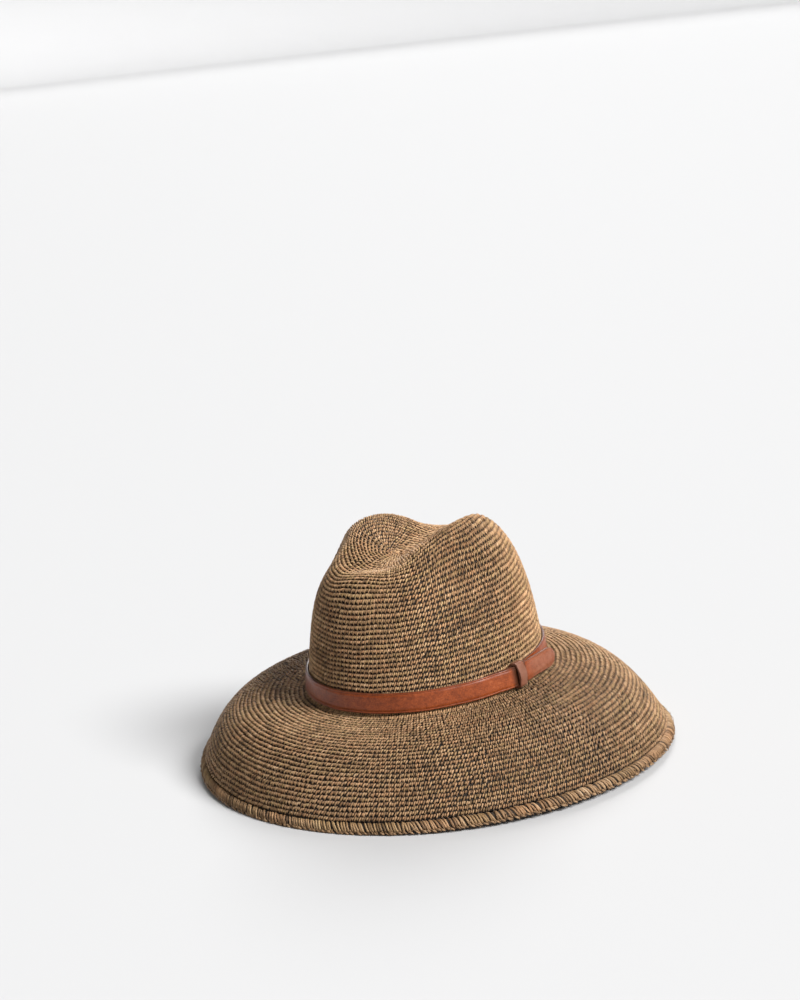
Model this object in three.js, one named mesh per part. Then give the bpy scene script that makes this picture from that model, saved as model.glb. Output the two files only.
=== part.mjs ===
// Crocheted raffia hat with a centre dent, a wide down-turned brim and a leather strap.
// Millimetres, +Z up. The front of the hat looks along -Y and the wearer's left is +X.
// The hat stands on its brim: the origin is the bottom centre of its bounding box, on the floor.
//
// Every form is first worked out in the hat's own frame, whose z = 0 is the plane where the
// crown meets the brim. The whole hat is then tilted and lifted until the front and the back
// of the brim touch the floor.

import * as THREE from "three";

const { degToRad, clamp, lerp, smoothstep } = THREE.MathUtils;

// Head oval, measured on the outside of the crown where it meets the brim.
const HEAD_HALF_WIDTH = 89.4;
const HEAD_HALF_LENGTH = 97;
const WALL = 3;
const GAP = 0.3;

// Crown before it is dented: a tapering wall that rounds over into a nearly flat top.
const CROWN_HEIGHT = 136.9;
const CROWN_TAPER = 0.149;
const CROWN_SHOULDER_UP = 2.92;
const CROWN_SHOULDER_OUT = 2.81;
const CROWN_LEAN_BACK = 9.5;
const CROWN_TOP_LIMIT = 127.8;
const CROWN_TOP_BLEND = 6;

// The crochet starts in the dent, ahead of the crown's middle. The first power sets how close
// the rings lie near the start, and the second how soon they centre on the crown.
const CROCHET_START = { x: -9.4, y: -17.2 };
const CROCHET_SPACING = 1.6;
const CROCHET_CENTRING = 1.3;

// Centre dent, a trough along Y. It opens at the front and runs out before the back.
const DENT = {
  depth: 29.8,
  middle: -3.2,
  halfWidth: 35.3,
  sharpness: 2.25,
  frontEdge: -80,
  frontFull: -46,
  backFull: 42,
  backEdge: 86,
  fadeLow: 50,
  fadeHigh: 105,
};

// Two finger pinches at the sides of the front.
const PINCH = {
  depth: 7.2,
  angle: 68,
  height: 103,
  spreadAngle: 16,
  spreadHeight: 21.5,
  insideFrom: 0.42,
  insideTo: 0.75,
};

// Brim, measured from the head oval outwards. Its drop is the height of its outline below
// the crown's foot. The waves make front and back hang lower than the sides, and their small
// sideways parts are the unevenness of a brim shaped by hand.
const BRIM_REACH = { all: 89.5, front: -1.4, ends: -8.6, left: -1.6, twist: 1.4 };
const BRIM_DROP = { all: 60.2, front: -5.8, ends: 3.1, left: 1.4, twist: -1.3 };
const BRIM_SLOPE_SHARE = { all: 0.102, front: 0, ends: 0, left: 0.036, twist: 0 };
const BRIM_CURL_POWER = { all: 4.02, front: 0.26, ends: 0, left: -0.35, twist: 0 };

// Overcast roll that finishes the brim.
const EDGE_HEIGHT = 9;
const EDGE_THICKNESS = 6.4;
const EDGE_SIDES = 12;
const EDGE_REST_FLAT = 1;

// Leather strap and its keeper. Angles run round the crown from the front (0) to the
// wearer's left (90), the back (180) and on round to the front again (360).
const STRAP_WIDTH = 15;
const STRAP_THICKNESS = 2;
const STRAP_CORNER = 0.45;
const STRAP_FOOT = 2.6;
const STRAP_SEAT = 0.4;
const STRAP_START = 66;
const STRAP_TIP = 360 + 110;
const STRAP_OVERLAP_FROM = 18;
const STRAP_OVERLAP_FULL = 2;
const STRAP_TIP_LIFT = 6.5;
const STRAP_TIP_DROP = 2;
const KEEPER_ANGLE = 82;
const KEEPER_WIDTH = 7.5;
const KEEPER_WALL = 1.8;
const KEEPER_EASE = 0.35;
const KEEPER_CORNER = 3;
const KEEPER_SLOT_CORNER = 0.2;
const KEEPER_ARCH = 1.6;
// Degrees from the keeper's middle within which the strap stands fully off the crown for it,
// beyond which it lies on the crown again, and from which the free end leans away.
const KEEPER_STAND_OFF = 4.5;
const KEEPER_SEATED = 13;
const KEEPER_TIP_FREE = 5;

// Fineness of the faceted walls.
const CROWN_RINGS = 20;
const ROUND_STEPS = 64;
const BRIM_RINGS = 11;
const EDGE_STEPS = 80;
const STRAP_STEP = 5;
const TIP_STATIONS = 5;
const TIP_BLUNT = 0.6;
const KEEPER_CORNER_STEPS = 3;
const HALVINGS = 30;
const SMALL_STEP = 0.001;
const NORMAL_STEP = 0.004;
const START_STEP = 0.03;

const raffia = new THREE.MeshStandardMaterial({ color: 0x8a6f4e, roughness: 0.85, metalness: 0 });
const raffiaEdge = new THREE.MeshStandardMaterial({ color: 0x7d6346, roughness: 0.85, metalness: 0 });
const leather = new THREE.MeshStandardMaterial({ color: 0xb0542c, roughness: 0.45, metalness: 0 });
const leatherDark = new THREE.MeshStandardMaterial({ color: 0x8f4526, roughness: 0.5, metalness: 0 });

// Fraction of the head oval at a given share of the crown's height.
function crownRadius(share) {
  const wall = 1 - CROWN_TAPER * share;
  const shoulder = Math.max(1 - share ** CROWN_SHOULDER_UP, 0) ** (1 / CROWN_SHOULDER_OUT);
  return wall * shoulder;
}

// The inverse of crownRadius, found by halving.
function crownShare(radius) {
  let low = 0;
  let high = 1;
  for (let i = 0; i < HALVINGS; i += 1) {
    const middle = (low + high) / 2;
    if (crownRadius(middle) > radius) low = middle;
    else high = middle;
  }
  return (low + high) / 2;
}

// The lower of two heights, with a soft corner between them.
function softLower(height, limit, blend) {
  const mix = clamp(0.5 + (0.5 * (limit - height)) / blend, 0, 1);
  return lerp(limit, height, mix) - blend * mix * (1 - mix);
}

// Distance from the middle as a fraction of the head oval.
function ovalRadius(x, y) {
  return Math.hypot(x / HEAD_HALF_WIDTH, y / HEAD_HALF_LENGTH);
}

// How deep the dent is at a place in plan, before it fades out down the wall.
function dentDepth(x, y) {
  const along = smoothstep(y, DENT.frontEdge, DENT.frontFull)
    * (1 - smoothstep(y, DENT.backFull, DENT.backEdge));
  const across = Math.exp(-((Math.abs(x - DENT.middle) / DENT.halfWidth) ** DENT.sharpness));
  return DENT.depth * along * across;
}

// How far a pinch pushes the wall inwards at an angle and a height.
function pinchDepth(angle, height, pinchAngle) {
  const turn = Math.atan2(Math.sin(angle - pinchAngle), Math.cos(angle - pinchAngle));
  const across = (turn / degToRad(PINCH.spreadAngle)) ** 2;
  const up = ((height - PINCH.height) / PINCH.spreadHeight) ** 2;
  return PINCH.depth * Math.exp(-across - up);
}

// Outer surface of the crown. turn runs round from the front, and row from 0 where the
// crochet starts in the dent to 1 at the crown's foot.
function crownPoint(turn, row) {
  const fullShare = Math.cos((Math.PI / 2) * row ** CROCHET_SPACING) ** (2 / CROWN_SHOULDER_UP);
  const radius = row <= 0 ? 0 : crownRadius(fullShare);
  const shift = (1 - row) ** CROCHET_CENTRING;
  const x = HEAD_HALF_WIDTH * radius * Math.sin(turn) + CROCHET_START.x * shift;
  const y = -HEAD_HALF_LENGTH * radius * Math.cos(turn) + CROCHET_START.y * shift;
  const share = crownShare(Math.min(ovalRadius(x, y), 1));
  const domed = softLower(CROWN_HEIGHT * share, CROWN_TOP_LIMIT, CROWN_TOP_BLEND);
  const height = domed - dentDepth(x, y) * smoothstep(domed, DENT.fadeLow, DENT.fadeHigh);
  const point = new THREE.Vector3(x, y + CROWN_LEAN_BACK * clamp(height / CROWN_HEIGHT, 0, 1), height);
  const onWall = smoothstep(ovalRadius(x, y), PINCH.insideFrom, PINCH.insideTo);
  for (const side of [1, -1]) {
    const pinchAngle = side * degToRad(PINCH.angle);
    const angle = Math.atan2(point.x / HEAD_HALF_WIDTH, -point.y / HEAD_HALF_LENGTH);
    const push = pinchDepth(angle, point.z, pinchAngle) * onWall;
    point.x -= push * Math.sin(pinchAngle);
    point.y += push * Math.cos(pinchAngle);
  }
  return point;
}

// Outer surface of the plain lower wall, by height, for the strap to follow.
function wallPoint(turn, height) {
  const share = height / CROWN_HEIGHT;
  const radius = crownRadius(share);
  return new THREE.Vector3(
    HEAD_HALF_WIDTH * radius * Math.sin(turn),
    -HEAD_HALF_LENGTH * radius * Math.cos(turn) + CROWN_LEAN_BACK * share,
    height,
  );
}

// Horizontal direction straight out of the head oval.
function ovalNormal(turn) {
  const normal = new THREE.Vector3(
    Math.sin(turn) / HEAD_HALF_WIDTH,
    -Math.cos(turn) / HEAD_HALF_LENGTH,
    0,
  );
  return normal.normalize();
}

// A size of the brim in one direction, from its waves.
function aroundBrim(size, angle) {
  return size.all
    + size.front * Math.cos(angle) + size.ends * Math.cos(2 * angle)
    + size.left * Math.sin(angle) + size.twist * Math.sin(2 * angle);
}

// Upper surface of the brim. out runs from 0 at the head oval to 1 at the outline.
function brimPoint(turn, out) {
  const normal = ovalNormal(turn);
  const reach = aroundBrim(BRIM_REACH, turn);
  const foot = wallPoint(turn, 0);
  const end = foot.clone().addScaledVector(normal, reach);
  const bearing = Math.atan2(end.x, -end.y);
  const slope = aroundBrim(BRIM_SLOPE_SHARE, bearing);
  const fall = slope * out + (1 - slope) * out ** aroundBrim(BRIM_CURL_POWER, bearing);
  const point = foot.addScaledVector(normal, reach * out);
  point.z = -aroundBrim(BRIM_DROP, bearing) * fall;
  return point;
}

// Unit normal of a surface, pointing out of the hat, from small steps along both directions.
function surfaceNormal(surface, turn, along) {
  const from = Math.max(along - NORMAL_STEP, SMALL_STEP);
  const to = Math.min(along + NORMAL_STEP, 1);
  const round = surface(turn + NORMAL_STEP, along).sub(surface(turn - NORMAL_STEP, along));
  const down = surface(turn, to).sub(surface(turn, from));
  return down.cross(round).normalize();
}

// A ring of points, one for each step round the hat.
function ring(steps, pointAt) {
  return Array.from({ length: steps }, (_, i) => pointAt((2 * Math.PI * i) / steps));
}

// One closed solid from rings of equal length. first and last are single points that close
// the two ends. Without them the last ring joins the first, as in a hoop.
function solidFromRings(rings, ends = null) {
  const steps = rings[0].length;
  const points = rings.flat();
  const faces = [];
  const pairs = ends ? rings.length - 1 : rings.length;
  for (let r = 0; r < pairs; r += 1) {
    const here = r * steps;
    const there = ((r + 1) % rings.length) * steps;
    for (let i = 0; i < steps; i += 1) {
      const next = (i + 1) % steps;
      faces.push(here + i, there + i, there + next, here + i, there + next, here + next);
    }
  }
  if (ends) {
    const first = points.push(ends.first) - 1;
    const last = points.push(ends.last) - 1;
    const lastRing = (rings.length - 1) * steps;
    for (let i = 0; i < steps; i += 1) {
      const next = (i + 1) % steps;
      faces.push(first, i, next, last, lastRing + next, lastRing + i);
    }
  }
  const geometry = new THREE.BufferGeometry().setFromPoints(points);
  geometry.setIndex(faces);
  geometry.computeVertexNormals();
  return geometry;
}

// Hollow crown: its outer surface, its inner surface one wall further in, and its open foot.
function makeCrown() {
  const rows = Array.from({ length: CROWN_RINGS }, (_, i) => (i + 1) / CROWN_RINGS);
  const outer = rows.map((row) => ring(ROUND_STEPS, (turn) => crownPoint(turn, row)));
  const inner = rows.map((row) => ring(ROUND_STEPS, (turn) => {
    const point = crownPoint(turn, row);
    return point.addScaledVector(surfaceNormal(crownPoint, turn, row), -WALL);
  }));
  const foot = outer.length - 1;
  outer[foot].forEach((point) => { point.z = GAP; });
  inner[foot].forEach((point) => { point.z = GAP; });
  const start = crownPoint(0, 0);
  const across = crownPoint(Math.PI / 2, START_STEP).sub(crownPoint(-Math.PI / 2, START_STEP));
  const along = crownPoint(0, START_STEP).sub(crownPoint(Math.PI, START_STEP));
  const up = along.cross(across).normalize();
  const ends = { first: start, last: start.clone().addScaledVector(up, -WALL) };
  return solidFromRings([...outer, ...inner.reverse()], ends);
}

// Where along the brim the overcast roll begins, so that the roll is EDGE_HEIGHT high.
function edgeShare(turn, height) {
  const end = brimPoint(turn, 1);
  let share = 1;
  while (brimPoint(turn, share).distanceTo(end) < height) share -= SMALL_STEP;
  return share;
}

// Brim from a collar under the crown's wall to just above the overcast roll.
function makeBrim() {
  const collar = ring(ROUND_STEPS, (turn) => wallPoint(turn, 0).addScaledVector(ovalNormal(turn), -WALL));
  const collarUnder = collar.map((point) => point.clone().setZ(-WALL));
  const shares = Array.from({ length: BRIM_RINGS }, (_, i) => i / (BRIM_RINGS - 1));
  const outAt = (turn, share) => share * edgeShare(turn, EDGE_HEIGHT + GAP);
  const top = shares.map((share) => ring(ROUND_STEPS, (turn) => brimPoint(turn, outAt(turn, share))));
  const under = shares.map((share) => ring(ROUND_STEPS, (turn) => {
    const out = outAt(turn, share);
    return brimPoint(turn, out).addScaledVector(surfaceNormal(brimPoint, turn, out), -WALL);
  }));
  return solidFromRings([collar, ...top, ...under.reverse(), collarUnder]);
}

// Middle of the overcast roll at one turn, with the directions through and down the brim.
function edgeFrame(turn) {
  const out = edgeShare(turn, EDGE_HEIGHT / 2);
  const normal = surfaceNormal(brimPoint, turn, out);
  const down = brimPoint(turn, 1).sub(brimPoint(turn, out)).normalize();
  return { centre: brimPoint(turn, out).addScaledVector(normal, -WALL / 2), normal, down };
}

// Roll round the brim's outline. Where it would reach below the floor it is pressed flat.
function makeEdge(heightAboveFloor, floorNormal) {
  const sections = Array.from({ length: EDGE_SIDES }, (_, i) => (2 * Math.PI * (i + 0.5)) / EDGE_SIDES);
  const rings = sections.map((angle) => ring(EDGE_STEPS, (turn) => {
    const { centre, normal, down } = edgeFrame(turn);
    const point = centre.addScaledVector(normal, (EDGE_THICKNESS / 2) * Math.cos(angle));
    point.addScaledVector(down, (EDGE_HEIGHT / 2) * Math.sin(angle));
    const below = Math.min(heightAboveFloor(point), 0);
    return point.addScaledVector(floorNormal, -below);
  }));
  return solidFromRings(rings);
}

// How far along its free end the strap is, from 0 at the keeper to 1 at the tip.
function tipShare(degrees) {
  const free = 360 + KEEPER_ANGLE + KEEPER_TIP_FREE;
  return clamp((degrees - free) / (STRAP_TIP - free), 0, 1);
}

// Distance of the strap's inner face from the crown. It stands off at the keeper, whose
// inner wall passes behind it, and where its outer end lies over its inner end. The free end
// is stiff and leans away almost straight.
function strapStandOff(degrees) {
  const fromKeeper = Math.abs(THREE.MathUtils.euclideanModulo(degrees - KEEPER_ANGLE + 180, 360) - 180);
  const atKeeper = 1 - smoothstep(fromKeeper, KEEPER_STAND_OFF, KEEPER_SEATED);
  const innerEnd = 360 + STRAP_START;
  const overlap = smoothstep(degrees, innerEnd - STRAP_OVERLAP_FROM, innerEnd - STRAP_OVERLAP_FULL);
  return STRAP_SEAT
    + atKeeper * (KEEPER_WALL + 2 * KEEPER_EASE - STRAP_SEAT)
    + overlap * (STRAP_THICKNESS + KEEPER_EASE)
    + STRAP_TIP_LIFT * tipShare(degrees) ** 2;
}

// Frame of the strap at one turn: its foot on the crown, and the directions along the strap,
// up its width and out of the crown.
function strapFrame(turn) {
  const foot = wallPoint(turn, STRAP_FOOT);
  const along = ovalNormal(turn).cross(new THREE.Vector3(0, 0, 1));
  const up = wallPoint(turn, STRAP_FOOT + STRAP_WIDTH).sub(foot).projectOnPlane(along).normalize();
  return { foot, along, up, out: up.clone().cross(along) };
}

// One cross-section of the strap: a flat bar with its four corners taken off.
function strapSection(degrees, halfWidth) {
  const frame = strapFrame(degToRad(degrees));
  const middle = STRAP_WIDTH / 2 - STRAP_TIP_DROP * tipShare(degrees);
  const low = middle - halfWidth;
  const high = middle + halfWidth;
  const corner = Math.min(STRAP_CORNER, halfWidth / 2);
  const outline = [
    { up: low + corner, out: 0 },
    { up: low, out: STRAP_CORNER },
    { up: low, out: STRAP_THICKNESS - STRAP_CORNER },
    { up: low + corner, out: STRAP_THICKNESS },
    { up: high - corner, out: STRAP_THICKNESS },
    { up: high, out: STRAP_THICKNESS - STRAP_CORNER },
    { up: high, out: STRAP_CORNER },
    { up: high - corner, out: 0 },
  ];
  const standOff = strapStandOff(degrees);
  return outline.map(({ up, out }) => frame.foot.clone()
    .addScaledVector(frame.up, up)
    .addScaledVector(frame.out, standOff + out));
}

// Strap in one spiral strip: all round the crown, through the keeper twice, to a rounded tip.
function makeStrap() {
  const radius = (HEAD_HALF_WIDTH + HEAD_HALF_LENGTH) / 2;
  const tipAngle = THREE.MathUtils.radToDeg(STRAP_WIDTH / 2 / radius);
  const stations = [];
  const roundStart = STRAP_TIP - tipAngle;
  const plain = Math.round((roundStart - STRAP_START) / STRAP_STEP);
  for (let i = 0; i <= plain; i += 1) {
    stations.push({ degrees: lerp(STRAP_START, roundStart, i / plain), halfWidth: STRAP_WIDTH / 2 });
  }
  for (let i = 1; i <= TIP_STATIONS; i += 1) {
    const angle = (Math.PI / 2) * (i / (TIP_STATIONS + TIP_BLUNT));
    stations.push({
      degrees: roundStart + tipAngle * Math.sin(angle),
      halfWidth: (STRAP_WIDTH / 2) * Math.cos(angle),
    });
  }
  const rings = stations.map(({ degrees, halfWidth }) => strapSection(degrees, halfWidth));
  const centre = (points) => points
    .reduce((sum, point) => sum.add(point), new THREE.Vector3()).divideScalar(points.length);
  return solidFromRings(rings, { first: centre(rings[0]), last: centre(rings[rings.length - 1]) });
}

// Leather loop round both layers of the strap, arched away from its outer layer. It is made
// in a frame of its own: x out of the crown, y up the strap, z along the strap.
function makeKeeper() {
  const { foot, along, up, out } = strapFrame(degToRad(KEEPER_ANGLE));
  const depth = 2 * STRAP_THICKNESS + 3 * KEEPER_EASE;
  const height = STRAP_WIDTH + 2 * KEEPER_EASE;
  const walls = 2 * KEEPER_WALL;
  const loop = roundedOutline(
    KEEPER_EASE, -KEEPER_EASE - KEEPER_WALL, depth + walls, height + walls, KEEPER_CORNER, KEEPER_ARCH);
  loop.holes.push(roundedOutline(
    KEEPER_EASE + KEEPER_WALL, -KEEPER_EASE, depth, height, KEEPER_SLOT_CORNER, KEEPER_ARCH));
  const geometry = new THREE.ExtrudeGeometry(loop, {
    depth: KEEPER_WIDTH,
    bevelEnabled: false,
    curveSegments: KEEPER_CORNER_STEPS,
  });
  geometry.translate(0, 0, -KEEPER_WIDTH / 2);
  const keeper = new THREE.Mesh(geometry, leatherDark);
  keeper.applyMatrix4(new THREE.Matrix4().makeBasis(out, up, along).setPosition(foot));
  return keeper;
}

// Rectangle with rounded corners, from its lower left corner. Its right side bulges by arch.
function roundedOutline(x, y, width, height, radius, arch) {
  const shape = new THREE.Shape();
  shape.moveTo(x + radius, y);
  shape.lineTo(x + width - radius, y);
  shape.absarc(x + width - radius, y + radius, radius, -Math.PI / 2, 0);
  shape.quadraticCurveTo(x + width + 2 * arch, y + height / 2, x + width, y + height - radius);
  shape.absarc(x + width - radius, y + height - radius, radius, 0, Math.PI / 2);
  shape.lineTo(x + radius, y + height);
  shape.absarc(x + radius, y + height - radius, radius, Math.PI / 2, Math.PI);
  shape.lineTo(x, y + radius);
  shape.absarc(x + radius, y + radius, radius, Math.PI, 1.5 * Math.PI);
  return shape;
}

// Tilt and lift that stand the hat on the front and the back of its brim.
function restingPlace() {
  const front = lowestOfEdge(0);
  const back = lowestOfEdge(Math.PI);
  const tilt = -Math.atan2(back.z - front.z, back.y - front.y);
  const lift = -(front.y * Math.sin(tilt) + front.z * Math.cos(tilt)) - EDGE_REST_FLAT;
  return { tilt, lift };
}

// Lowest point of the roll's cross-section at one turn, before it is pressed flat.
function lowestOfEdge(turn) {
  const { centre, normal, down } = edgeFrame(turn);
  const reach = Math.hypot((EDGE_HEIGHT / 2) * down.z, (EDGE_THICKNESS / 2) * normal.z);
  return centre.setZ(centre.z - reach);
}

function named(name, mesh) {
  mesh.name = name;
  return mesh;
}

const { tilt, lift } = restingPlace();
const floorNormal = new THREE.Vector3(0, Math.sin(tilt), Math.cos(tilt));
const heightAboveFloor = (point) => point.dot(floorNormal) + lift;

const hat = new THREE.Group();
hat.add(named("crown", new THREE.Mesh(makeCrown(), raffia)));
hat.add(named("brim", new THREE.Mesh(makeBrim(), raffia)));
hat.add(named("brim_edge", new THREE.Mesh(makeEdge(heightAboveFloor, floorNormal), raffiaEdge)));
hat.add(named("strap", new THREE.Mesh(makeStrap(), leather)));
hat.add(named("keeper", makeKeeper()));
hat.rotation.x = tilt;
hat.position.z = lift;

// The bounding box is centred over the origin.
const standing = new THREE.Group();
standing.add(hat);
standing.updateMatrixWorld(true);
const middle = new THREE.Box3().setFromObject(standing, true).getCenter(new THREE.Vector3());
hat.position.x -= middle.x;
hat.position.y -= middle.y;

export default standing;
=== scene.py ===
# %% [markdown]
# # A crocheted raffia hat with a leather strap
#
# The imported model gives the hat's forms as plain smooth walls. This file dresses those walls:
# thousands of crochet stitches in raffia, an overcast edge, and a waxed leather strap with its
# keeper. Every cell is short and prints what it made, so it can be run and read step by step.

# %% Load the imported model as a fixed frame
import math

import bmesh
import bpy
import numpy as np
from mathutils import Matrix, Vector


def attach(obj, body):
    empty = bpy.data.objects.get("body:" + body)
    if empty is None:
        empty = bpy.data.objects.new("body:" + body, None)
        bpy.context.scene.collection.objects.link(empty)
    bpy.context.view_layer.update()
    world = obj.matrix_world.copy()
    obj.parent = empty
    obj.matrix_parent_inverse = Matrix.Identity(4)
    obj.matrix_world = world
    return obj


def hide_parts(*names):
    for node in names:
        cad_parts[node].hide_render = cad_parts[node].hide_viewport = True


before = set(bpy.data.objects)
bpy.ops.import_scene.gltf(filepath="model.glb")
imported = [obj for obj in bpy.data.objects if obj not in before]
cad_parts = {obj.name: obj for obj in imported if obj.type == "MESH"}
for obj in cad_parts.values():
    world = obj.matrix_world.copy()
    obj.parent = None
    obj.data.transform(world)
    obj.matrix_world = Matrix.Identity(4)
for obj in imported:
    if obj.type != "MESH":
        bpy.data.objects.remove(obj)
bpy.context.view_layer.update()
MM = 0.001


print("nodes:", sorted(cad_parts))

# %% [markdown]
# ## The hat's sizes
#
# Blender must put every stitch exactly on the walls of the model, so the sizes that shape those
# walls are repeated here, in millimetres. They are measured in the hat's own frame, whose zero
# height is the plane where crown and brim meet. The hat then leans a little, so that the front
# and the back of its brim both touch the floor.

# %% Sizes of crown, brim and edge, in millimetres
HEAD_HALF_WIDTH = 89.4
HEAD_HALF_LENGTH = 97.0
WALL = 3.0
CROWN_HEIGHT = 136.9
CROWN_TAPER = 0.149
CROWN_SHOULDER_UP = 2.92
CROWN_SHOULDER_OUT = 2.81
CROWN_LEAN_BACK = 9.5
CROWN_TOP_LIMIT = 127.8
CROWN_TOP_BLEND = 6.0
CROCHET_START = (-9.4, -17.2)
CROCHET_SPACING = 1.6
CROCHET_CENTRING = 1.3
DENT = dict(depth=29.8, middle=-3.2, half_width=35.3, sharpness=2.25, front_edge=-80,
            front_full=-46, back_full=42, back_edge=86, fade_low=50, fade_high=105)
PINCH = dict(depth=7.2, angle=68, height=103, spread_angle=16, spread_height=21.5,
             inside_from=0.42, inside_to=0.75)
BRIM_REACH = dict(all=89.5, front=-1.4, ends=-8.6, left=-1.6, twist=1.4)
BRIM_DROP = dict(all=60.2, front=-5.8, ends=3.1, left=1.4, twist=-1.3)
BRIM_SLOPE_SHARE = dict(all=0.102, front=0, ends=0, left=0.036, twist=0)
BRIM_CURL_POWER = dict(all=4.02, front=0.26, ends=0, left=-0.35, twist=0)
EDGE_HEIGHT, EDGE_THICKNESS = 9.0, 6.4
HAT_LEAN = 0.0329482
HAT_SHIFT = (1.6439, -3.3677, 62.6922)


def to_model(places):
    """Places in the hat's own frame, in millimetres, as places in the model's frame, in metres."""
    x, y, z = np.moveaxis(places, -1, 0)
    cos, sin = math.cos(HAT_LEAN), math.sin(HAT_LEAN)
    moved = np.stack([x, y * cos - z * sin, y * sin + z * cos], -1) + np.array(HAT_SHIFT)
    return moved * MM


# %% [markdown]
# ## The crown's and the brim's surfaces as functions
#
# On the real hat the crochet follows one continuous form. Here that form is a pair of functions:
# give them how far round the hat you are (turn) and how far down (row or out), and they return
# the place. They take whole arrays at once, which is what makes thousands of stitches quick.


# %% The crown's outer surface
def smoothstep(value, low, high):
    share = np.clip((value - low) / (high - low), 0, 1)
    return share * share * (3 - 2 * share)


def crown_radius(share):
    wall = 1 - CROWN_TAPER * share
    return wall * np.clip(1 - share ** CROWN_SHOULDER_UP, 0, None) ** (1 / CROWN_SHOULDER_OUT)


SHARE_TABLE = np.linspace(0, 1, 20001)
RADIUS_TABLE = crown_radius(SHARE_TABLE)


def crown_share(radius):
    return np.interp(radius, RADIUS_TABLE[::-1], SHARE_TABLE[::-1])


def soft_lower(height, limit, blend):
    mix = np.clip(0.5 + 0.5 * (limit - height) / blend, 0, 1)
    return limit + (height - limit) * mix - blend * mix * (1 - mix)


def dent_depth(x, y):
    along = smoothstep(y, DENT["front_edge"], DENT["front_full"])
    along = along * (1 - smoothstep(y, DENT["back_full"], DENT["back_edge"]))
    across = np.exp(-(np.abs(x - DENT["middle"]) / DENT["half_width"]) ** DENT["sharpness"])
    return DENT["depth"] * along * across


def pinch_depth(angle, height, pinch_angle):
    turn = np.arctan2(np.sin(angle - pinch_angle), np.cos(angle - pinch_angle))
    across = (turn / math.radians(PINCH["spread_angle"])) ** 2
    up = ((height - PINCH["height"]) / PINCH["spread_height"]) ** 2
    return PINCH["depth"] * np.exp(-across - up)


def crown_places(turn, row):
    """Outer surface of the crown. row runs from 0 in the dent to 1 at the crown's foot."""
    full = np.clip(np.cos(np.pi / 2 * row ** CROCHET_SPACING), 0, 1) ** (2 / CROWN_SHOULDER_UP)
    radius = crown_radius(full)
    shift = (1 - row) ** CROCHET_CENTRING
    x = HEAD_HALF_WIDTH * radius * np.sin(turn) + CROCHET_START[0] * shift
    y = -HEAD_HALF_LENGTH * radius * np.cos(turn) + CROCHET_START[1] * shift
    oval = np.hypot(x / HEAD_HALF_WIDTH, y / HEAD_HALF_LENGTH)
    dome = CROWN_HEIGHT * crown_share(np.minimum(oval, 1))
    domed = soft_lower(dome, CROWN_TOP_LIMIT, CROWN_TOP_BLEND)
    height = domed - dent_depth(x, y) * smoothstep(domed, DENT["fade_low"], DENT["fade_high"])
    y = y + CROWN_LEAN_BACK * np.clip(height / CROWN_HEIGHT, 0, 1)
    on_wall = smoothstep(oval, PINCH["inside_from"], PINCH["inside_to"])
    for side in (1, -1):
        pinch_angle = side * math.radians(PINCH["angle"])
        angle = np.arctan2(x / HEAD_HALF_WIDTH, -y / HEAD_HALF_LENGTH)
        push = pinch_depth(angle, height, pinch_angle) * on_wall
        x = x - push * math.sin(pinch_angle)
        y = y + push * math.cos(pinch_angle)
    return np.stack([x, y, height], -1)


# %% The brim's upper surface
def oval_normal(turn):
    x, y = np.sin(turn) / HEAD_HALF_WIDTH, -np.cos(turn) / HEAD_HALF_LENGTH
    size = np.hypot(x, y)
    return np.stack([x / size, y / size, np.zeros_like(x)], -1)


def wall_places(turn, height):
    """The plain lower wall of the crown, by height, which the strap follows."""
    share = height / CROWN_HEIGHT
    radius = crown_radius(share)
    x = HEAD_HALF_WIDTH * radius * np.sin(turn)
    y = -HEAD_HALF_LENGTH * radius * np.cos(turn) + CROWN_LEAN_BACK * share
    return np.stack([x, y, height + 0 * x], -1)


def around_brim(size, angle):
    """A size of the brim in one direction, from its waves."""
    return (size["all"] + size["front"] * np.cos(angle) + size["ends"] * np.cos(2 * angle)
            + size["left"] * np.sin(angle) + size["twist"] * np.sin(2 * angle))


def brim_places(turn, out):
    """Upper surface of the brim. out runs from 0 at the crown's foot to 1 at the outline."""
    normal = oval_normal(turn)
    reach = around_brim(BRIM_REACH, turn)
    foot = wall_places(turn, 0.0)
    end = foot + normal * reach[..., None]
    bearing = np.arctan2(end[..., 0], -end[..., 1])
    slope = around_brim(BRIM_SLOPE_SHARE, bearing)
    fall = slope * out + (1 - slope) * out ** around_brim(BRIM_CURL_POWER, bearing)
    place = foot + normal * (reach * out)[..., None]
    place[..., 2] = -around_brim(BRIM_DROP, bearing) * fall
    return place


# %% Outward directions, and where the brim's edge begins
NORMAL_STEP = 0.004
SMALL_STEP = 0.001


def unit(vectors):
    return vectors / np.linalg.norm(vectors, axis=-1, keepdims=True)


def lengths_along(places):
    """Length along a line of places, from 0 at its start."""
    return np.append(0, np.cumsum(np.linalg.norm(np.diff(places, axis=0), axis=-1)))


def outward(places_of, turn, along):
    """Unit direction out of the hat at each place of a surface, from small steps each way."""
    above = np.maximum(along - NORMAL_STEP, SMALL_STEP)
    below = np.minimum(along + NORMAL_STEP, 1)
    round_way = places_of(turn + NORMAL_STEP, along) - places_of(turn - NORMAL_STEP, along)
    down_way = places_of(turn, below) - places_of(turn, above)
    return unit(np.cross(down_way, round_way))


def edge_share(turn, height):
    """How far out the brim is where only this much of its slope is left."""
    out = np.linspace(0.8, 1, 401)
    turn = np.atleast_1d(turn)
    slope = brim_places(turn[:, None] + 0 * out, out + 0 * turn[:, None])
    left = np.linalg.norm(slope - slope[:, -1:], axis=-1)
    return np.array([np.interp(height, row[::-1], out[::-1]) for row in left])


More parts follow.
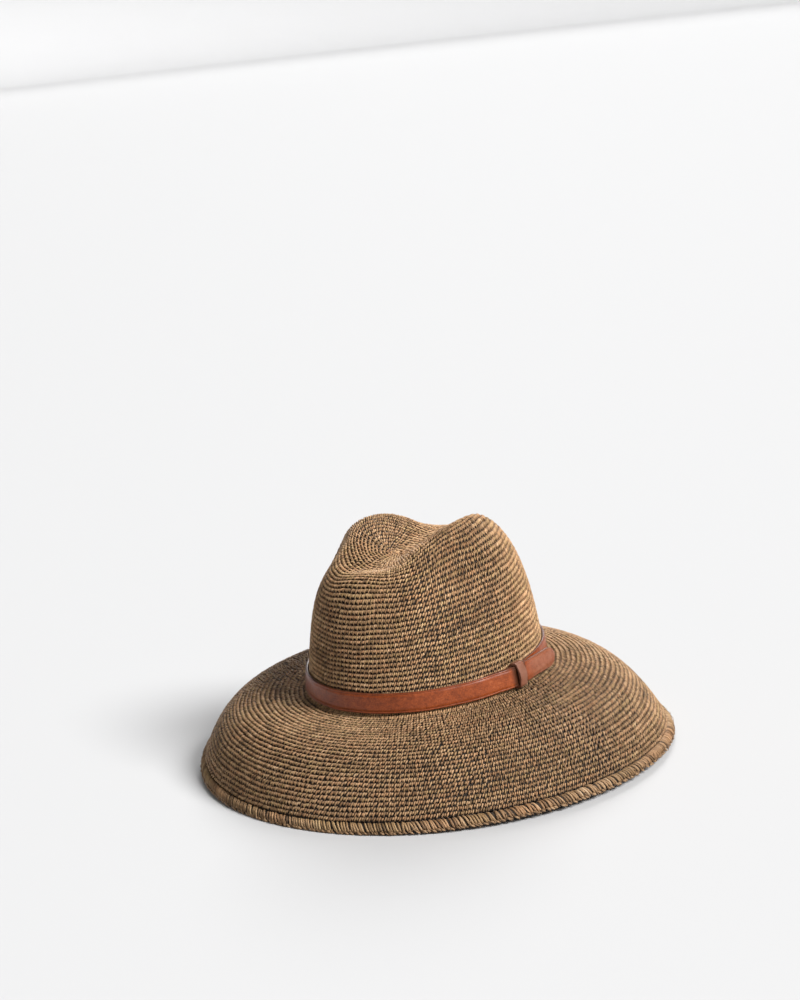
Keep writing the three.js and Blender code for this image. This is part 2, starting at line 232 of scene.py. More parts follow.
# %% [markdown]
# ## A table of each surface
#
# Asking the surface functions for every corner of every stitch would be slow. A fine table of
# places and outward directions is worked out once, and each stitch reads it. The table also
# tells how long the cloth is, so that the rows can be spaced evenly along it.

# %% Fine tables of both surfaces
TABLE_TURNS = 720
TABLE_ROWS = 240
CROWN_FIRST_ROW = 0.012


def surface_table(places_of, first, last):
    row = np.linspace(first, last, TABLE_ROWS)[:, None] + np.zeros((1, TABLE_TURNS + 1))
    turn = np.linspace(0, 2 * np.pi, TABLE_TURNS + 1)[None, :] + np.zeros((TABLE_ROWS, 1))
    places = places_of(turn, row)
    steps = np.linalg.norm(np.diff(places, axis=0), axis=-1).mean(axis=1)
    return dict(first=first, last=last, rows=row[:, 0], places=places,
                normals=outward(places_of, turn, row), length=np.append(0, np.cumsum(steps)))


def read_table(table, turn, row):
    """Place and outward direction at any turn and row, mixed from the nearest four entries."""
    r = (row - table["first"]) / (table["last"] - table["first"]) * (TABLE_ROWS - 1)
    r = np.clip(r, 0, TABLE_ROWS - 1.001)
    t = (turn % (2 * np.pi)) / (2 * np.pi) * TABLE_TURNS
    r0, t0 = r.astype(int), np.minimum(t.astype(int), TABLE_TURNS - 1)
    dr, dt = (r - r0)[..., None], (t - t0)[..., None]

    def mixed(values):
        upper = values[r0, t0] * (1 - dt) + values[r0, t0 + 1] * dt
        lower = values[r0 + 1, t0] * (1 - dt) + values[r0 + 1, t0 + 1] * dt
        return upper * (1 - dr) + lower * dr

    return mixed(table["places"]), mixed(table["normals"])


ROUND = np.linspace(0, 2 * np.pi, TABLE_TURNS + 1)
edge_starts = edge_share(ROUND, EDGE_HEIGHT)


def brim_cloth(turn, down):
    """The brim by its own share, from the crown's foot to where the overcast edge begins."""
    return brim_places(turn, down * np.interp(turn % (2 * np.pi), ROUND, edge_starts))


crown_table = surface_table(crown_places, CROWN_FIRST_ROW, 1.0)
brim_table = surface_table(brim_cloth, 0.0, 1.0)
print("cloth down the crown:", round(crown_table["length"][-1], 1), "mm, down the brim:",
      round(brim_table["length"][-1], 1), "mm")

# %% [markdown]
# ## Where the stitches sit
#
# A crochet hat is worked in rounds. Each stitch stands on one of the round before, and where
# the hat widens the maker works two stitches into one. The same rule is used here: a row keeps
# the columns of the row above it, takes in a few new stitches at random places, and then eases
# their spacing. That gives straight columns on the crown's wall and wandering ones on the brim.

# %% Rows of stitches
ROW_PITCH = 3.75
STITCH_WIDTH = 3.7
FEWEST_STITCHES = 8
EASING_ROUNDS = 4
rng = np.random.default_rng(20)


def next_row(columns, count):
    """Columns of the next row, as shares of its length."""
    change = count - len(columns)
    if change:
        spots = (np.arange(abs(change)) + rng.random(abs(change))) * len(columns) / abs(change)
        spots = spots.astype(int)
    if change > 0:
        gaps = np.diff(np.append(columns, columns[0] + 1))
        columns = np.sort(np.append(columns, columns[spots] + gaps[spots] / 2))
    if change < 0:
        columns = np.delete(columns, spots)
    for _ in range(EASING_ROUNDS):
        before = np.append(columns[-1] - 1, columns[:-1])
        after = np.append(columns[1:], columns[0] + 1)
        columns = 0.5 * columns + 0.25 * (before + after)
    return columns


def lay_rows(table, columns=None):
    """One entry for each row: its upper and lower bound, its columns and its turn table."""
    length = table["length"]
    count = round(length[-1] / ROW_PITCH)
    bounds = np.interp(np.linspace(0, length[-1], count + 1), length, table["rows"])
    rows = []
    for top, bottom in zip(bounds[:-1], bounds[1:]):
        places, _ = read_table(table, ROUND - 1e-9, np.full_like(ROUND, (top + bottom) / 2))
        along = lengths_along(places)
        stitches = max(FEWEST_STITCHES, round(along[-1] / STITCH_WIDTH))
        if columns is None:
            columns = np.arange(stitches) / stitches
        columns = next_row(columns, stitches)
        rows.append(dict(top=top, bottom=bottom, columns=columns, along=along / along[-1]))
    return rows


crown_rows = lay_rows(crown_table)
brim_rows = lay_rows(brim_table, crown_rows[-1]["columns"])
print("crown:", len(crown_rows), "rows,", sum(len(r["columns"]) for r in crown_rows), "stitches")
print("brim:", len(brim_rows), "rows,", sum(len(r["columns"]) for r in brim_rows), "stitches")

# %% [markdown]
# ## One stitch
#
# Seen from outside, a plain crochet stitch is two leaning strands that bulge in the middle of
# their row. The long one crosses the groove and dives into the row below, the short one stops
# before it, and so each stitch leaves one small dark hole. Seen along the rows, the bulges join
# into ropes with dark grooves between them. Inside the hat one short bar shows for each stitch.
# Each strand starts as a capped prism from a bmesh operator, cut across a few times. It keeps a
# few dozen faces, because it is repeated about twelve thousand times.


# %% A prism that can be bent along any path
def prism(sides, cuts):
    """Angle, share of the length and UV for each vertex of a capped prism, and its faces."""
    bm = bmesh.new()
    bmesh.ops.create_cone(bm, cap_ends=True, cap_tris=False, segments=sides,
                          radius1=1, radius2=1, depth=1)
    long_edges = [e for e in bm.edges if abs(e.verts[0].co.z - e.verts[1].co.z) > 0.5]
    if cuts:
        bmesh.ops.subdivide_edges(bm, edges=long_edges, cuts=cuts)
    bmesh.ops.recalc_face_normals(bm, faces=bm.faces)
    bm.verts.index_update()
    co = np.array([v.co for v in bm.verts])
    faces = [[v.index for v in f.verts] for f in bm.faces]
    bm.free()
    angle, share = np.arctan2(co[:, 1], co[:, 0]), co[:, 2] + 0.5
    return dict(angle=angle, share=share, uv=np.stack([share, np.cos(angle)], -1), faces=faces)


# A station on a strand: across and down in shares of the stitch, height above the middle of the
# wall and half width in millimetres.
LONG_STRAND = np.array([
    # across, down, height, half width
    [0.12, 0.06, 0.05, 0.52],
    [0.00, 0.34, 1.00, 0.74],
    [-0.22, 0.78, 0.90, 0.66],
    [-0.32, 1.24, 0.00, 0.54],
])
SHORT_STRAND = np.array([
    [0.62, 0.08, 0.00, 0.50],
    [0.50, 0.32, 1.04, 0.80],
    [0.34, 0.60, 1.02, 0.80],
    [0.22, 0.82, 0.00, 0.50],
])
INSIDE_BAR = np.array([
    [-0.62, 0.42, -0.50, 0.70],
    [0.00, 0.50, -1.20, 1.00],
    [0.62, 0.60, -0.50, 0.70],
])
STRAND_HALF_THICKNESS = 0.56


def strand(stations, sides):
    """A strand through its stations, in shares and millimetres, with its own faces and UV."""
    shape = prism(sides, len(stations) - 2)
    steps = np.linspace(0, 1, len(stations))
    at = shape["share"]
    across, down, height, half = (np.interp(at, steps, column) for column in stations.T)
    d_across = np.gradient(stations[:, 0]) * STITCH_WIDTH
    d_down = np.gradient(stations[:, 1]) * ROW_PITCH
    size = np.hypot(d_across, d_down)
    side_across = np.interp(at, steps, d_down / size)
    side_down = np.interp(at, steps, -d_across / size)
    spread = np.cos(shape["angle"]) * half
    across = across + spread * side_across / STITCH_WIDTH
    down = down + spread * side_down / ROW_PITCH
    lift = np.sin(shape["angle"]) * STRAND_HALF_THICKNESS
    return dict(across=across, down=down, height=height + lift, faces=shape["faces"],
                uv=shape["uv"])


stitch_parts = [strand(LONG_STRAND, 4), strand(SHORT_STRAND, 4), strand(INSIDE_BAR, 3)]
print("faces in one stitch:", sum(len(part["faces"]) for part in stitch_parts))

# %% [markdown]
# ## From one stitch to a whole cloth
#
# Copying objects would be slow and heavy. Instead the corners of one strand are laid in every
# stitch of a row at once as one array, and a joined mesh takes them all. Each stitch also gets a
# tone, because a strip of raffia is dyed by hand and keeps its tone for a few stitches.


# %% Helpers that every piece uses
def paint(mesh, name, values):
    """One value for each vertex, which a material reads by this name."""
    data = mesh.attributes.new(name, "FLOAT", "POINT").data
    data.foreach_set("value", np.ascontiguousarray(values, np.float32))


def write_uv(mesh, name, uv):
    """A UV map from one place for each vertex."""
    corner = np.zeros(len(mesh.loops), np.int32)
    mesh.loops.foreach_get("vertex_index", corner)
    layer = mesh.uv_layers.new(name=name)
    layer.data.foreach_set("uv", uv[corner].astype(np.float32).ravel())


def new_piece(name, mesh):
    """An object at the origin that shows the mesh, shaded smooth."""
    mesh.shade_smooth()
    piece = bpy.data.objects.new(name, mesh)
    bpy.context.scene.collection.objects.link(piece)
    return piece


def mesh_of(bm, name):
    """The bmesh as a mesh whose faces point outwards."""
    bmesh.ops.recalc_face_normals(bm, faces=bm.faces)
    mesh = bpy.data.meshes.new(name)
    bm.to_mesh(mesh)
    bm.free()
    return mesh


# %% Joined meshes with their own attributes
UV_SCATTER = 50


class Cloth:
    """Collects strands of one piece until they become one mesh."""

    def __init__(self):
        self.places, self.faces, self.uv, self.values, self.count = [], [], [], [], 0

    def add(self, places, faces, uv, tone, warmth, painted_light_level):
        """places: copies x corners x 3. uv: corners x 2. The rest: one value for each corner."""
        copies, corners = places.shape[:2]
        self.places.append(places.reshape(-1, 3))
        starts = self.count + np.arange(copies) * corners
        for size in sorted({len(face) for face in faces}):
            block = np.array([face for face in faces if len(face) == size])
            self.faces.extend((block[None] + starts[:, None, None]).reshape(-1, size).tolist())
        offset = rng.random((copies, 1, 2)) * UV_SCATTER
        self.uv.append((uv[None] + offset).reshape(-1, 2))
        values = [np.broadcast_to(v, (copies, corners)).reshape(-1) for v in (tone, warmth, painted_light_level)]
        self.values.append(np.stack(values, -1))
        self.count += copies * corners

    def make(self, name):
        mesh = bpy.data.meshes.new(name)
        mesh.from_pydata(to_model(np.concatenate(self.places)).tolist(), [], self.faces)
        write_uv(mesh, "StrandUV", np.concatenate(self.uv))
        for name_of, values in zip(("tone", "warmth", "painted_light_level"), np.concatenate(self.values).T):
            paint(mesh, name_of, values)
        print(name, "triangles:", sum(len(face) - 2 for face in self.faces))
        return new_piece(name, mesh)


def smooth_noise(count, width):
    """Random values that change slowly over about that many entries, spread of about one."""
    raw = rng.normal(size=count + 4 * width)
    kernel = np.hanning(2 * width + 1)
    kernel = kernel / np.sqrt((kernel ** 2).sum())
    return np.convolve(raw, kernel, "same")[2 * width:2 * width + count]


SLOW_TONE, QUICK_TONE, SINGLE_TONE = 0.03, 0.035, 0.06


def yarn_tones(count):
    """Tone of each stitch along the strip of raffia, from 0 dark to 1 light."""
    tone = 0.5 + SLOW_TONE * smooth_noise(count, 30) + QUICK_TONE * smooth_noise(count, 4)
    return np.clip(tone + SINGLE_TONE * rng.normal(size=count), 0, 1)


# %% Lay rows of stitches as one piece
HEIGHT_JITTER = 0.07
STITCH_TONE_JITTER = 0.10
WAVES = [
    # waves round the hat, waves down it, where they start, size in rows
    (3, 9, 0.4, 0.05), (7, -14, 2.1, 0.05), (11, 21, 4.0, 0.045), (17, -8, 1.3, 0.04),
    (23, 31, 5.2, 0.035),
]


def hand_waves(turn, row):
    """Slow unevenness of handwork, in rows up or down."""
    waves = np.zeros_like(turn)
    for across, down, shift, size in WAVES:
        waves = waves + size * np.sin(across * turn + down * row + shift)
    return waves


def crochet(name, table_rows, jitter):
    cloth = Cloth()
    for table, row in table_rows:
        columns = row["columns"]
        count = len(columns)
        width = np.diff(np.append(columns, columns[0] + 1))
        width = (width + np.roll(width, 1)) / 2
        tone = yarn_tones(count)[:, None]
        warmth = 0.5 + 0.1 * smooth_noise(count, 12) + 0.17 * rng.normal(size=count)
        warmth = np.clip(warmth, 0, 1)
        for part in stitch_parts:
            shift = rng.normal(size=(count, 3)) * (jitter, jitter, HEIGHT_JITTER)
            share = columns[:, None] + (part["across"][None] + shift[:, :1]) * width[:, None]
            turn = np.interp(share % 1, row["along"], ROUND)
            down = part["down"][None] + shift[:, 1:2] + hand_waves(turn, row["top"])
            down = row["top"] + down * (row["bottom"] - row["top"])
            places, normals = read_table(table, turn, down)
            height = part["height"][None] + shift[:, 2:]
            places = places + normals * (height - WALL / 2)[..., None]
            # How far each station stands from the middle of the wall sets its painted shade: low
            # ends are painted darker.
            painted_light_level = np.clip(np.abs(part["height"]) / (WALL / 2), 0, 1)
            tone_here = np.clip(tone + STITCH_TONE_JITTER * rng.normal(size=(count, 1)), 0, 1)
            cloth.add(places, part["faces"], part["uv"], tone_here, warmth[:, None], painted_light_level[None])
    return cloth.make(name)


# %% The crochet of crown and brim
def split_rows(table, rows, parts):
    """The rows in groups of about equal numbers of stitches."""
    total = np.cumsum([len(row["columns"]) for row in rows])
    group = np.minimum((total - 1) * parts // total[-1], parts - 1)
    return [[(table, row) for row, g in zip(rows, group) if g == k] for k in range(parts)]


CORNER_RADIUS = 2.0


def corner_places(turn, row):
    """The hollow corner where the crown's wall turns into the brim."""
    bend = row * np.pi / 2
    out = CORNER_RADIUS * (1 - np.cos(bend))
    place = wall_places(turn, 0.0) + oval_normal(turn) * out[..., None]
    place[..., 2] = CORNER_RADIUS * (1 - np.sin(bend))
    return place


corner_table = surface_table(corner_places, 0.0, 1.0)
corner_rows = lay_rows(corner_table, crown_rows[-1]["columns"])
crown_groups = split_rows(crown_table, crown_rows, 3)
crown_groups[-1] += [(corner_table, row) for row in corner_rows]
brim_groups = split_rows(brim_table, brim_rows, 3)
crown_names = ("crown_crochet_top", "crown_crochet_middle", "crown_crochet_foot")
brim_names = ("brim_crochet_inner", "brim_crochet_middle", "brim_crochet_outer")
CROWN_JITTER, BRIM_JITTER = 0.038, 0.06
crown_pieces = [crochet(name, group, CROWN_JITTER)
                for name, group in zip(crown_names, crown_groups)]
brim_pieces = [crochet(name, group, BRIM_JITTER)
               for name, group in zip(brim_names, brim_groups)]

# %% [markdown]
# ## The ground behind the stitches
#
# Between the strands a real hat shows the shaded strands of the layer behind. A thin sheet in the
# middle of the wall, coloured near black, stands for them as painted shade. It is a strip of rings
# joined by an operator, and the Solidify modifier gives it its thickness.

# %% Dark ground sheets of painted shade
GROUND_THICKNESS = 0.5
GROUND_DEPTH = 1.8
GROUND_TURNS = 120
GROUND_ROWS = 34


def ground(name, table, close_start):
    """Grid of faces over the whole surface, on the middle of the wall."""
    bm = bmesh.new()
    rings = []
    for row in np.linspace(table["first"], table["last"], GROUND_ROWS):
        turns = np.arange(GROUND_TURNS) * 2 * np.pi / GROUND_TURNS
        places, normals = read_table(table, turns, np.full(GROUND_TURNS, row))
        co = to_model(places - normals * GROUND_DEPTH)
        ring = [bm.verts.new(c) for c in co]
        edges = [bm.edges.new((ring[i - 1], ring[i])) for i in range(GROUND_TURNS)]
        if rings:
            bmesh.ops.bridge_loops(bm, edges=rings[-1] + edges)
        rings.append(edges)
    if close_start:
        bmesh.ops.contextual_create(bm, geom=rings[0])
    piece = new_piece(name, mesh_of(bm, name))
    wall = piece.modifiers.new("ground thickness", "SOLIDIFY")
    wall.thickness = GROUND_THICKNESS * MM
    wall.offset = 0
    return piece


crown_ground = ground("crown_ground", crown_table, True)
brim_ground = ground("brim_ground", brim_table, False)
print("ground faces:", len(crown_ground.data.polygons), len(brim_ground.data.polygons))

# %% [markdown]
# ## The overcast edge
#
# The brim ends in a roll of raffia, wound closely over the last rounds so that they can't
# unravel. Every turn of the winding is one strand that goes once round the roll and a little
# along it. Under it the last round shows as a row of loops, and loose ends of raffia stick out.
# A plain roll inside, near black as painted shade, closes the small gaps between the strands,
# and the winding is painted darker where it turns under the roll.

# %% Middle of the roll at any turn
EDGE_STRANDS = 500
EDGE_STRAND_SIDES = 5
EDGE_STRAND_CUTS = 8
EDGE_STRAND_HALF_WIDTH = 0.9
EDGE_STRAND_HALF_THICKNESS = 0.85
EDGE_SLANT = 9.0
EDGE_STRAND_JITTER = 0.45
EDGE_SLANT_JITTER = 2.0
EDGE_SLACK_LIMIT = 0.7
EDGE_TONE_JITTER = 0.12
EDGE_UV = (6, 1)
# The roll is painted darker, as painted shade, between these depths, in shares of its half height.
EDGE_FOOT_SHADE = (0.35, 0.8)


def edge_frame(turn):
    out = edge_share(turn, EDGE_HEIGHT / 2)
    normal = outward(brim_places, turn, out)
    middle = brim_places(turn, out)
    down = unit(brim_places(turn, np.ones_like(turn)) - middle)
    return middle - normal * WALL / 2, normal, down


edge_centre, edge_normal, edge_down = edge_frame(ROUND)
edge_along = lengths_along(edge_centre)


def on_edge(along, angle, inset):
    """A place on the roll: millimetres along it, angle round its section, depth under its skin."""
    turn = np.interp(along % edge_along[-1], edge_along, ROUND)
    read = [np.stack([np.interp(turn, ROUND, field[:, k]) for k in range(3)], -1)
            for field in (edge_centre, edge_normal, edge_down)]
    through = (EDGE_THICKNESS / 2 - inset) * np.cos(angle)
    along_brim = (EDGE_HEIGHT / 2 - inset) * np.sin(angle)
    return read[0] + read[1] * through[..., None] + read[2] * along_brim[..., None]


def floor_height(places):
    """Height above the floor in millimetres of places in the hat's own frame."""
    return places[..., 1] * math.sin(HAT_LEAN) + places[..., 2] * math.cos(HAT_LEAN) + HAT_SHIFT[2]


UPRIGHT = np.array([0, math.sin(HAT_LEAN), math.cos(HAT_LEAN)])


def rest_on_floor(places):
    """Presses places that reach below the floor back up onto it."""
    return places - np.minimum(floor_height(places), 0)[..., None] * UPRIGHT


def lift_onto_floor(places):
    """Lifts each whole strand that reaches below the floor up onto it."""
    return places - np.minimum(floor_height(places).min(axis=1), 0)[:, None, None] * UPRIGHT


# %% Winding of the roll
winding = prism(EDGE_STRAND_SIDES, EDGE_STRAND_CUTS)
strand_at = np.arange(EDGE_STRANDS) * edge_along[-1] / EDGE_STRANDS
strand_at = strand_at + rng.normal(size=EDGE_STRANDS) * EDGE_STRAND_JITTER
slack = 0.25 * smooth_noise(EDGE_STRANDS, 4) + 0.4 * rng.normal(size=EDGE_STRANDS)
slack = np.clip(slack, -EDGE_SLACK_LIMIT, EDGE_SLACK_LIMIT)
slant = EDGE_SLANT + rng.normal(size=EDGE_STRANDS) * EDGE_SLANT_JITTER
round_angle = np.pi + winding["share"] * 2 * np.pi
spread = np.cos(winding["angle"]) * EDGE_STRAND_HALF_WIDTH
lift = np.sin(winding["angle"]) * EDGE_STRAND_HALF_THICKNESS
along = strand_at[:, None] + spread + slant[:, None] * (winding["share"] - 0.5)
inset = EDGE_STRAND_HALF_THICKNESS - lift[None] - slack[:, None] * 0.5
winding_places = rest_on_floor(on_edge(along, round_angle[None] + 0 * along, inset))
edge_tone = yarn_tones(EDGE_STRANDS) + EDGE_TONE_JITTER * rng.normal(size=EDGE_STRANDS)
edge_warmth = 0.5 + 0.2 * smooth_noise(EDGE_STRANDS, 12)
# Painted shade on the winding where it turns under the roll.
edge_painted_light_level = 0.9 - 0.6 * smoothstep(np.sin(round_angle), *EDGE_FOOT_SHADE)
edge_cloth = Cloth()
edge_cloth.add(winding_places, winding["faces"], winding["uv"] * EDGE_UV,
               np.clip(edge_tone, 0, 1)[:, None], np.clip(edge_warmth, 0, 1)[:, None],
               edge_painted_light_level[None])
edge_winding = edge_cloth.make("edge_winding")
print("edge strands:", EDGE_STRANDS)

# %% Loops under the winding, and loose ends of raffia
LOOP_PITCH = 3.7
LOOP_ANGLE = math.radians(50)
LOOP_HALF_WIDTH = 0.95
LOOSE_ENDS = 420
LOOSE_END_HALF_WIDTH = 0.3
BIT_CUTS = 3
BIT_PLACE_JITTER = 0.3
BIT_TONE_JITTER = 0.1
BIT_UV = (2, 1)
# Loops and loose ends get one fixed level of painted shade, nearly none.
BIT_WARMTH, BIT_PAINTED_LIGHT_LEVEL = 0.5, 0.8


def edge_bits(cloth, count, start, run, turn_by, rise, half_width, sides):
    """Short strands on the roll. Each runs along it, round it by turn_by and out by rise."""
    shape = prism(sides, BIT_CUTS)
    share = shape["share"][None]
    thin = np.sin(np.pi * np.clip(share, 0.12, 0.88)) ** 0.6 * half_width
    spot = np.arange(count)[:, None] + BIT_PLACE_JITTER * rng.normal(size=(count, 1))
    reach = turn_by[:, None] * EDGE_HEIGHT / 2
    length = np.hypot(run, reach)
    side = thin * np.cos(shape["angle"])
    at = spot * edge_along[-1] / count + run * (share - 0.5) - side * reach / length
    angle = start[:, None] + turn_by[:, None] * (share - 0.5)
    angle = angle + side * run / length / (EDGE_HEIGHT / 2)
    out = rise[:, None] * share + thin * np.sin(shape["angle"])
    places = lift_onto_floor(on_edge(at, angle, -out))
    tone = np.clip(yarn_tones(count) + BIT_TONE_JITTER * rng.normal(size=count), 0, 1)
    outside_out = [face[::-1] for face in shape["faces"]]
    cloth.add(places, outside_out, shape["uv"] * BIT_UV, tone[:, None], BIT_WARMTH, BIT_PAINTED_LIGHT_LEVEL)


bits = Cloth()
loops = round(edge_along[-1] / LOOP_PITCH)
edge_bits(bits, loops, start=LOOP_ANGLE + 0.06 * rng.normal(size=loops), run=LOOP_PITCH * 0.85,
          turn_by=np.full(loops, 0.45), rise=0.4 + 0.2 * rng.normal(size=loops),
          half_width=LOOP_HALF_WIDTH, sides=4)
edge_bits(bits, LOOSE_ENDS, start=np.pi * (0.05 + 0.4 * rng.random(LOOSE_ENDS)), run=1.6,
          turn_by=0.6 * rng.normal(size=LOOSE_ENDS), rise=0.5 + rng.random(LOOSE_ENDS),
          half_width=LOOSE_END_HALF_WIDTH, sides=3)
edge_loops = bits.make("edge_loops")
print("loops:", loops, "loose ends:", LOOSE_ENDS)

# %% Roll under the winding
# The core is coloured near black: painted shade in the gaps of the winding.
CORE_SIDES = 12
CORE_TURNS = 160
CORE_INSET = 1.1
MERGE_DISTANCE = 1e-6


def roll_core(name):
    """A prism without its caps, bent round the brim until its two ends join."""
    shape = prism(CORE_SIDES, CORE_TURNS - 1)
    inset = np.full_like(shape["share"], CORE_INSET)
    places = rest_on_floor(on_edge(shape["share"] * edge_along[-1], shape["angle"], inset))
    bm = bmesh.new()
    corners = [bm.verts.new(place) for place in to_model(places)]
    for face in shape["faces"]:
        if len(face) == 4:
            bm.faces.new([corners[i] for i in face])
    bmesh.ops.remove_doubles(bm, verts=bm.verts, dist=MERGE_DISTANCE)
    return new_piece(name, mesh_of(bm, name))


edge_core = roll_core("edge_core")
print("edge core faces:", len(edge_core.data.polygons))

# %% [markdown]
# ## The strap
#
# The strap is one strip of waxed leather. It starts under the keeper, goes once round the crown
# and ends in a stiff rounded tongue that leans away from it. A prism is cut across many times
# and bent along that path. Its section has rounded edges and two creased lines, which a maker
# presses in along both edges.

# %% Sizes of the strap and keeper, in millimetres
STRAP_WIDTH, STRAP_THICKNESS = 15.0, 2.0
STRAP_FOOT, STRAP_SEAT = 2.6, 0.4
STRAP_START, STRAP_TIP = 66.0, 360 + 110.0
STRAP_OVERLAP_FROM, STRAP_OVERLAP_FULL = 18.0, 2.0
STRAP_TIP_LIFT, STRAP_TIP_DROP = 6.5, 2.0
KEEPER_ANGLE, KEEPER_WALL, KEEPER_EASE = 82.0, 1.8, 0.35
KEEPER_STAND_OFF, KEEPER_SEATED, KEEPER_TIP_FREE = 4.5, 13.0, 5.0
STRAP_CUTS = 400
# In degrees: where the free end's painted sheen starts and is full, and how far from the keeper
# its painted shadow reaches.
STRAP_SHEEN = (360 + 84, 360 + 98)
STRAP_KEEPER_SHADOW = (3.4, 5.2)
STRAP_SHEEN_MOST = 0.8
STRAP_CUT_EDGE, STRAP_CREASE_OUT = 0.2, 1.80
# Handwork moves the strap up and down: millimetres, waves once round, and where they start.
STRAP_WANDER = ((0.10, 7, 0), (0.08, 17, 1))
STRAP_UV_SIZE = 10
# Outline of the strap's section: millimetres up its width and out of the crown.
STRAP_SECTION = np.array([
    # up, out
    [0.45, 0.00], [0.12, 0.12], [0.00, 0.45], [0.00, 1.50], [0.13, 1.86], [0.50, 2.00],
    [1.05, 2.02], [1.30, 1.80], [1.55, 2.02], [3.50, 2.05], [6.00, 2.08], [9.00, 2.08],
    [11.50, 2.05], [13.45, 2.02], [13.70, 1.80], [13.95, 2.02], [14.50, 2.00], [14.87, 1.86],
    [15.00, 1.50], [15.00, 0.45], [14.88, 0.12], [14.55, 0.00], [10.00, 0.00], [5.00, 0.00],
])


# %% Path of the strap
def tip_share(degrees):
    free = 360 + KEEPER_ANGLE + KEEPER_TIP_FREE
    return np.clip((degrees - free) / (STRAP_TIP - free), 0, 1)


def from_keeper(degrees):
    return np.abs((degrees - KEEPER_ANGLE + 180) % 360 - 180)


def strap_stand_off(degrees):
    at_keeper = 1 - smoothstep(from_keeper(degrees), KEEPER_STAND_OFF, KEEPER_SEATED)
    inner_end = 360 + STRAP_START
    overlap = smoothstep(degrees, inner_end - STRAP_OVERLAP_FROM, inner_end - STRAP_OVERLAP_FULL)
    return (STRAP_SEAT + at_keeper * (KEEPER_WALL + 2 * KEEPER_EASE - STRAP_SEAT)
            + overlap * (STRAP_THICKNESS + KEEPER_EASE) + STRAP_TIP_LIFT * tip_share(degrees) ** 2)


def strap_frame(turn):
    """Foot of the strap on the crown, and the directions up its width and out of the crown."""
    foot = wall_places(turn, STRAP_FOOT)
    along = np.cross(oval_normal(turn), np.array([0.0, 0.0, 1.0]))
    rise = wall_places(turn, STRAP_FOOT + STRAP_WIDTH) - foot
    rise = rise - (rise * along).sum(-1, keepdims=True) * along
    up = unit(rise)
    return foot, up, np.cross(up, along)


# %% Strap mesh
def make_strap(name):
    shape = prism(len(STRAP_SECTION), STRAP_CUTS)
    points = len(STRAP_SECTION)
    point = np.round(shape["angle"] / (2 * np.pi) * points).astype(int) % points
    tip_angle = math.degrees(STRAP_WIDTH / (HEAD_HALF_WIDTH + HEAD_HALF_LENGTH))
    degrees = STRAP_START + shape["share"] * (STRAP_TIP - STRAP_START)
    # The stations crowd towards the tip, so that its end is round.
    round_part = np.clip((degrees - (STRAP_TIP - tip_angle)) / tip_angle, 0, 1)
    half = STRAP_WIDTH / 2 * np.sqrt(np.clip(1 - round_part ** 2, 0.001, 1))
    up, out = STRAP_SECTION[point, 0], STRAP_SECTION[point, 1]
    middle = STRAP_WIDTH / 2 - STRAP_TIP_DROP * tip_share(degrees)
    wander = sum(size * np.sin(np.radians(degrees) * waves + shift)
                 for size, waves, shift in STRAP_WANDER)
    up = middle + (up - STRAP_WIDTH / 2) * half / (STRAP_WIDTH / 2) + wander
    foot, rise, outer = strap_frame(np.radians(degrees))
    places = foot + rise * up[:, None] + outer * (strap_stand_off(degrees) + out)[:, None]
    mesh = bpy.data.meshes.new(name)
    mesh.from_pydata(to_model(places).tolist(), [], [face[::-1] for face in shape["faces"]])
    to_edge = np.minimum(STRAP_SECTION[point, 0], STRAP_WIDTH - STRAP_SECTION[point, 0])
    run = np.radians(degrees) * (HEAD_HALF_WIDTH + HEAD_HALF_LENGTH) / 2
    write_uv(mesh, "StrapUV", np.stack([run, up], -1) / STRAP_UV_SIZE)
    paint(mesh, "cut_edge", to_edge < STRAP_CUT_EDGE)
    paint(mesh, "crease", np.abs(STRAP_SECTION[point, 1] - STRAP_CREASE_OUT) < 0.01)
    # Painted sheen on the free end, paler in patches.
    paint(mesh, "painted_sheen", smoothstep(degrees, *STRAP_SHEEN) * STRAP_SHEEN_MOST)
    # Painted shadow of the keeper on the strap, darkest right beside it.
    paint(mesh, "keeper_shadow", 1 - smoothstep(from_keeper(degrees), *STRAP_KEEPER_SHADOW))
    return new_piece(name, mesh)


strap_piece = make_strap("strap_leather_strip")
print("strap faces:", len(strap_piece.data.polygons))

# %% [markdown]
# ## The keeper
#
# The keeper is a small leather loop that holds both layers of the strap. Its model is already
# right, so a copy of it is merged and its hard edges are rounded with the bevel operator. Values
# at its vertices tell the leather where its cut rims are and how much painted sheen it gets.

# %% Keeper mesh
KEEPER_BEVEL = 0.5
KEEPER_FLAT, KEEPER_SHARP = math.radians(2), math.radians(50)
KEEPER_RIM = (0.80, 0.97)
KEEPER_SHEEN = 0.25


